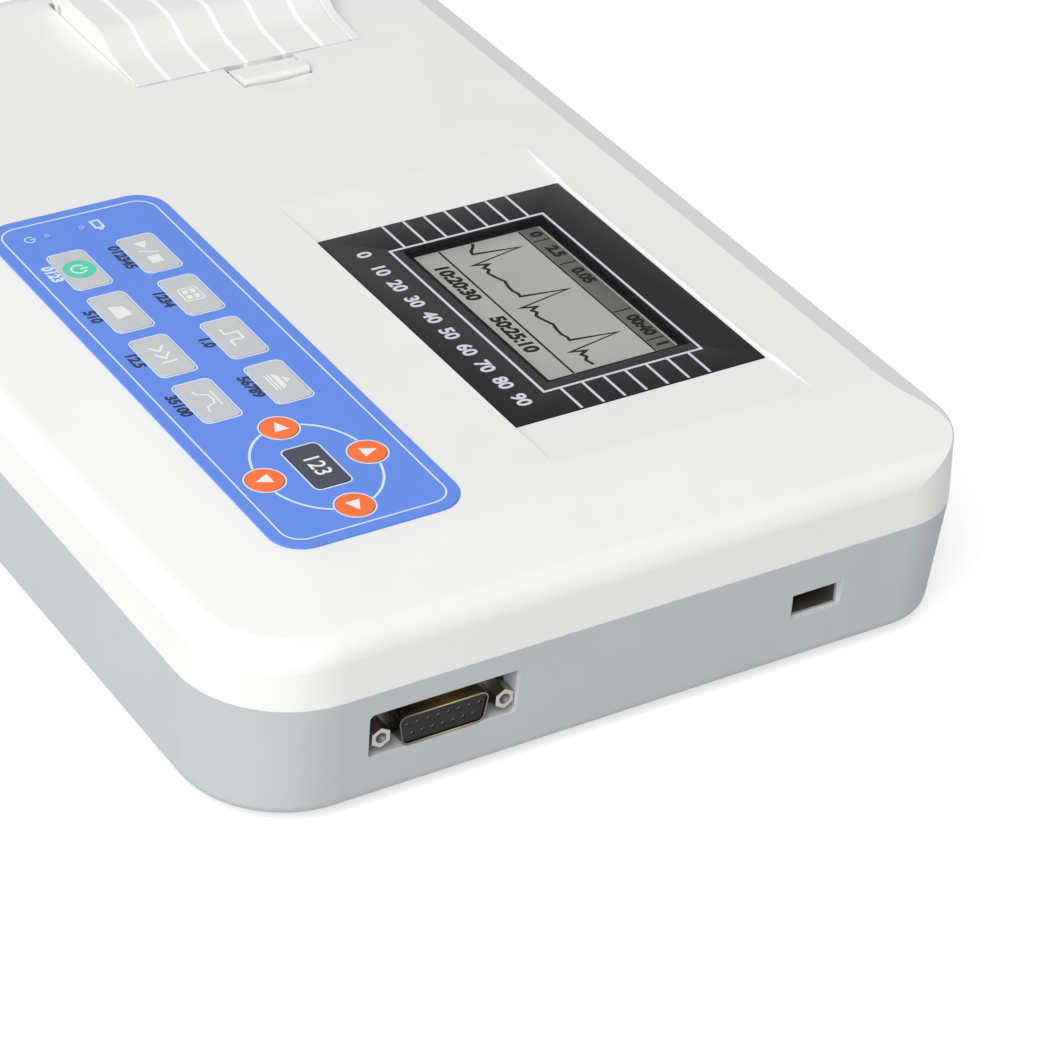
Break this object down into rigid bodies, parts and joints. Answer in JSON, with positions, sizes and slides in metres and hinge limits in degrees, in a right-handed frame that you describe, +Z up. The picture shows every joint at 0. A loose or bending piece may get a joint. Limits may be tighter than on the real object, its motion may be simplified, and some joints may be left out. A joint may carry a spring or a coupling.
{
  "type": "desktop electrocardiograph",
  "caption": "Bench-top single-channel heart-trace recorder: two-part case, membrane keypad, display window, arched paper door over a thermal printer, patient and data sockets.",
  "frame": {"origin": "centre of the case on the surface it stands on, under the feet", "axes": "+X to the user's right along the long side, +Y to the back, +Z up"},
  "size_m": [0.315, 0.21, 0.063],
  "materials": {
    "white_shell": "satin moulded ABS, off-white",
    "grey_shell": "fine-textured moulded ABS, light blue-grey",
    "window_sheet": "printed acrylic sheet, black border",
    "bare_steel": "bright tinned steel",
    "lcd_glass": "grey-green reflective display glass",
    "green_board": "solder-masked circuit board",
    "overlay_blue": "printed polyester overlay, mid blue",
    "key_grey": "printed polyester key, light grey",
    "key_orange": "printed polyester key, orange",
    "key_dark": "printed polyester key, dark slate",
    "lamp_clear": "clear light pipe",
    "black_plastic": "black moulded thermoplastic",
    "white_plastic": "natural white acetal",
    "rubber_black": "matt black rubber",
    "grey_rubber": "ground silicone rubber",
    "aluminium_sink": "milled aluminium",
    "brass_nickel": "nickel-plated brass",
    "paper_white": "thermal paper",
    "core_steel": "laminated core steel",
    "copper_winding": "enamelled copper under tape",
    "battery_wrap": "heat-shrink sleeve over steel cells"
  },
  "bodies": {
    "case": {"top_housing": "white_shell", "bottom_housing": "grey_shell", "display_window": "window_sheet", "lcd_frame": "bare_steel", "lcd_glass": "lcd_glass", "lcd_board": "green_board", "keypad_overlay": "overlay_blue", "keypad_board": "green_board", "status_lamps": "lamp_clear", "door_hinge_pins": "bare_steel", "printer_frame": "black_plastic", "platen_bushes": "white_plastic", "stepper_motor": "bare_steel", "print_head": "aluminium_sink", "head_spring": "bare_steel", "tear_bar": "bare_steel", "patient_port_shell": "bare_steel", "patient_port_insert": "black_plastic", "patient_port_jackscrews": "bare_steel", "usb_socket_shell": "bare_steel", "usb_socket_tongue": "black_plastic", "main_board": "green_board", "beeper": "black_plastic", "power_board": "green_board", "transformer_core": "core_steel", "transformer_winding": "copper_winding", "battery_pack": "battery_wrap", "battery_door": "grey_shell", "mains_inlet_body": "black_plastic", "mains_inlet_blades": "brass_nickel", "mains_switch_frame": "black_plastic", "fuse_holders": "black_plastic", "ground_terminal": "brass_nickel", "rubber_feet": "rubber_black", "case_screws": "bare_steel"},
    "door": {"paper_door": "white_shell"},
    "latch": {"door_latch": "white_shell"},
    "platen": {"platen_roller": "grey_rubber", "platen_shaft": "bare_steel", "platen_gear": "white_plastic"},
    "idler": {"idler_gear": "white_plastic"},
    "pinion": {"motor_pinion": "brass_nickel"},
    "roll": {"paper_roll": "paper_white", "roll_spindle": "white_plastic"},
    "rocker": {"mains_switch_rocker": "black_plastic"},
    "left_fuse_cap": {"fuse_cap_left": "black_plastic"},
    "right_fuse_cap": {"fuse_cap_right": "black_plastic"},
    "key_power_body": {"key_power": "key_grey"},
    "key_sensitivity_body": {"key_sensitivity": "key_grey"},
    "key_speed_body": {"key_speed": "key_grey"},
    "key_filter_body": {"key_filter": "key_grey"},
    "key_start_stop_body": {"key_start_stop": "key_grey"},
    "key_mode_body": {"key_mode": "key_grey"},
    "key_calibrate_body": {"key_calibrate": "key_grey"},
    "key_print_body": {"key_print": "key_grey"},
    "key_set_body": {"key_set": "key_dark"},
    "key_left_body": {"key_left": "key_orange"},
    "key_right_body": {"key_right": "key_orange"},
    "key_down_body": {"key_down": "key_orange"},
    "key_up_body": {"key_up": "key_orange"}
  },
  "joints": [
    {"name": "key_power_press", "type": "slide", "parent": "case", "child": "key_power_body", "axis": [0, 0, -1], "range_m": [0, 0.00035], "stiffness_N_per_m": 800},
    {"name": "key_sensitivity_press", "type": "slide", "parent": "case", "child": "key_sensitivity_body", "axis": [0, 0, -1], "range_m": [0, 0.00035], "stiffness_N_per_m": 800},
    {"name": "key_speed_press", "type": "slide", "parent": "case", "child": "key_speed_body", "axis": [0, 0, -1], "range_m": [0, 0.00035], "stiffness_N_per_m": 800},
    {"name": "key_filter_press", "type": "slide", "parent": "case", "child": "key_filter_body", "axis": [0, 0, -1], "range_m": [0, 0.00035], "stiffness_N_per_m": 800},
    {"name": "key_start_stop_press", "type": "slide", "parent": "case", "child": "key_start_stop_body", "axis": [0, 0, -1], "range_m": [0, 0.00035], "stiffness_N_per_m": 800},
    {"name": "key_mode_press", "type": "slide", "parent": "case", "child": "key_mode_body", "axis": [0, 0, -1], "range_m": [0, 0.00035], "stiffness_N_per_m": 800},
    {"name": "key_calibrate_press", "type": "slide", "parent": "case", "child": "key_calibrate_body", "axis": [0, 0, -1], "range_m": [0, 0.00035], "stiffness_N_per_m": 800},
    {"name": "key_print_press", "type": "slide", "parent": "case", "child": "key_print_body", "axis": [0, 0, -1], "range_m": [0, 0.00035], "stiffness_N_per_m": 800},
    {"name": "key_set_press", "type": "slide", "parent": "case", "child": "key_set_body", "axis": [0, 0, -1], "range_m": [0, 0.00035], "stiffness_N_per_m": 800},
    {"name": "key_left_press", "type": "slide", "parent": "case", "child": "key_left_body", "axis": [0, 0, -1], "range_m": [0, 0.00035], "stiffness_N_per_m": 800},
    {"name": "key_right_press", "type": "slide", "parent": "case", "child": "key_right_body", "axis": [0, 0, -1], "range_m": [0, 0.00035], "stiffness_N_per_m": 800},
    {"name": "key_down_press", "type": "slide", "parent": "case", "child": "key_down_body", "axis": [0, 0, -1], "range_m": [0, 0.00035], "stiffness_N_per_m": 800},
    {"name": "key_up_press", "type": "slide", "parent": "case", "child": "key_up_body", "axis": [0, 0, -1], "range_m": [0, 0.00035], "stiffness_N_per_m": 800},
    {"name": "door_hinge", "type": "hinge", "parent": "case", "child": "door", "pos_m": [-0.1355, 0.0315, 0.0575], "axis": [0, -1, 0], "range_deg": [0, 95]},
    {"name": "latch_slide", "type": "slide", "parent": "door", "child": "latch", "axis": [-1, 0, 0], "range_m": [0, 0.0016], "stiffness_N_per_m": 500},
    {"name": "platen_spin", "type": "hinge", "parent": "case", "child": "platen", "pos_m": [-0.1355, 0.0315, 0.046], "axis": [0, 1, 0], "continuous": true},
    {"name": "idler_spin", "type": "hinge", "parent": "case", "child": "idler", "pos_m": [-0.13354, -0.005, 0.03264], "axis": [0, 1, 0], "continuous": true},
    {"name": "pinion_spin", "type": "hinge", "parent": "case", "child": "pinion", "pos_m": [-0.1395, -0.005, 0.024], "axis": [0, 1, 0], "continuous": true},
    {"name": "roll_spin", "type": "hinge", "parent": "case", "child": "roll", "pos_m": [-0.1105, 0.0315, 0.038], "axis": [0, 1, 0], "continuous": true},
    {"name": "mains_rocker_tilt", "type": "hinge", "parent": "case", "child": "rocker", "pos_m": [-0.034, 0.0925, 0.0185], "axis": [0, 0, -1], "range_deg": [0, 16]},
    {"name": "left_fuse_cap_turn", "type": "hinge", "parent": "case", "child": "left_fuse_cap", "pos_m": [-0.002, 0.1, 0.0185], "axis": [0, 1, 0], "range_deg": [0, 90]},
    {"name": "right_fuse_cap_turn", "type": "hinge", "parent": "case", "child": "right_fuse_cap", "pos_m": [0.02, 0.1, 0.0185], "axis": [0, 1, 0], "range_deg": [0, 90]}
  ],
  "couplings": [
    {"joint": "idler_spin", "follows": "platen_spin", "ratio": -0.8},
    {"joint": "pinion_spin", "follows": "platen_spin", "ratio": 2}
  ]
}
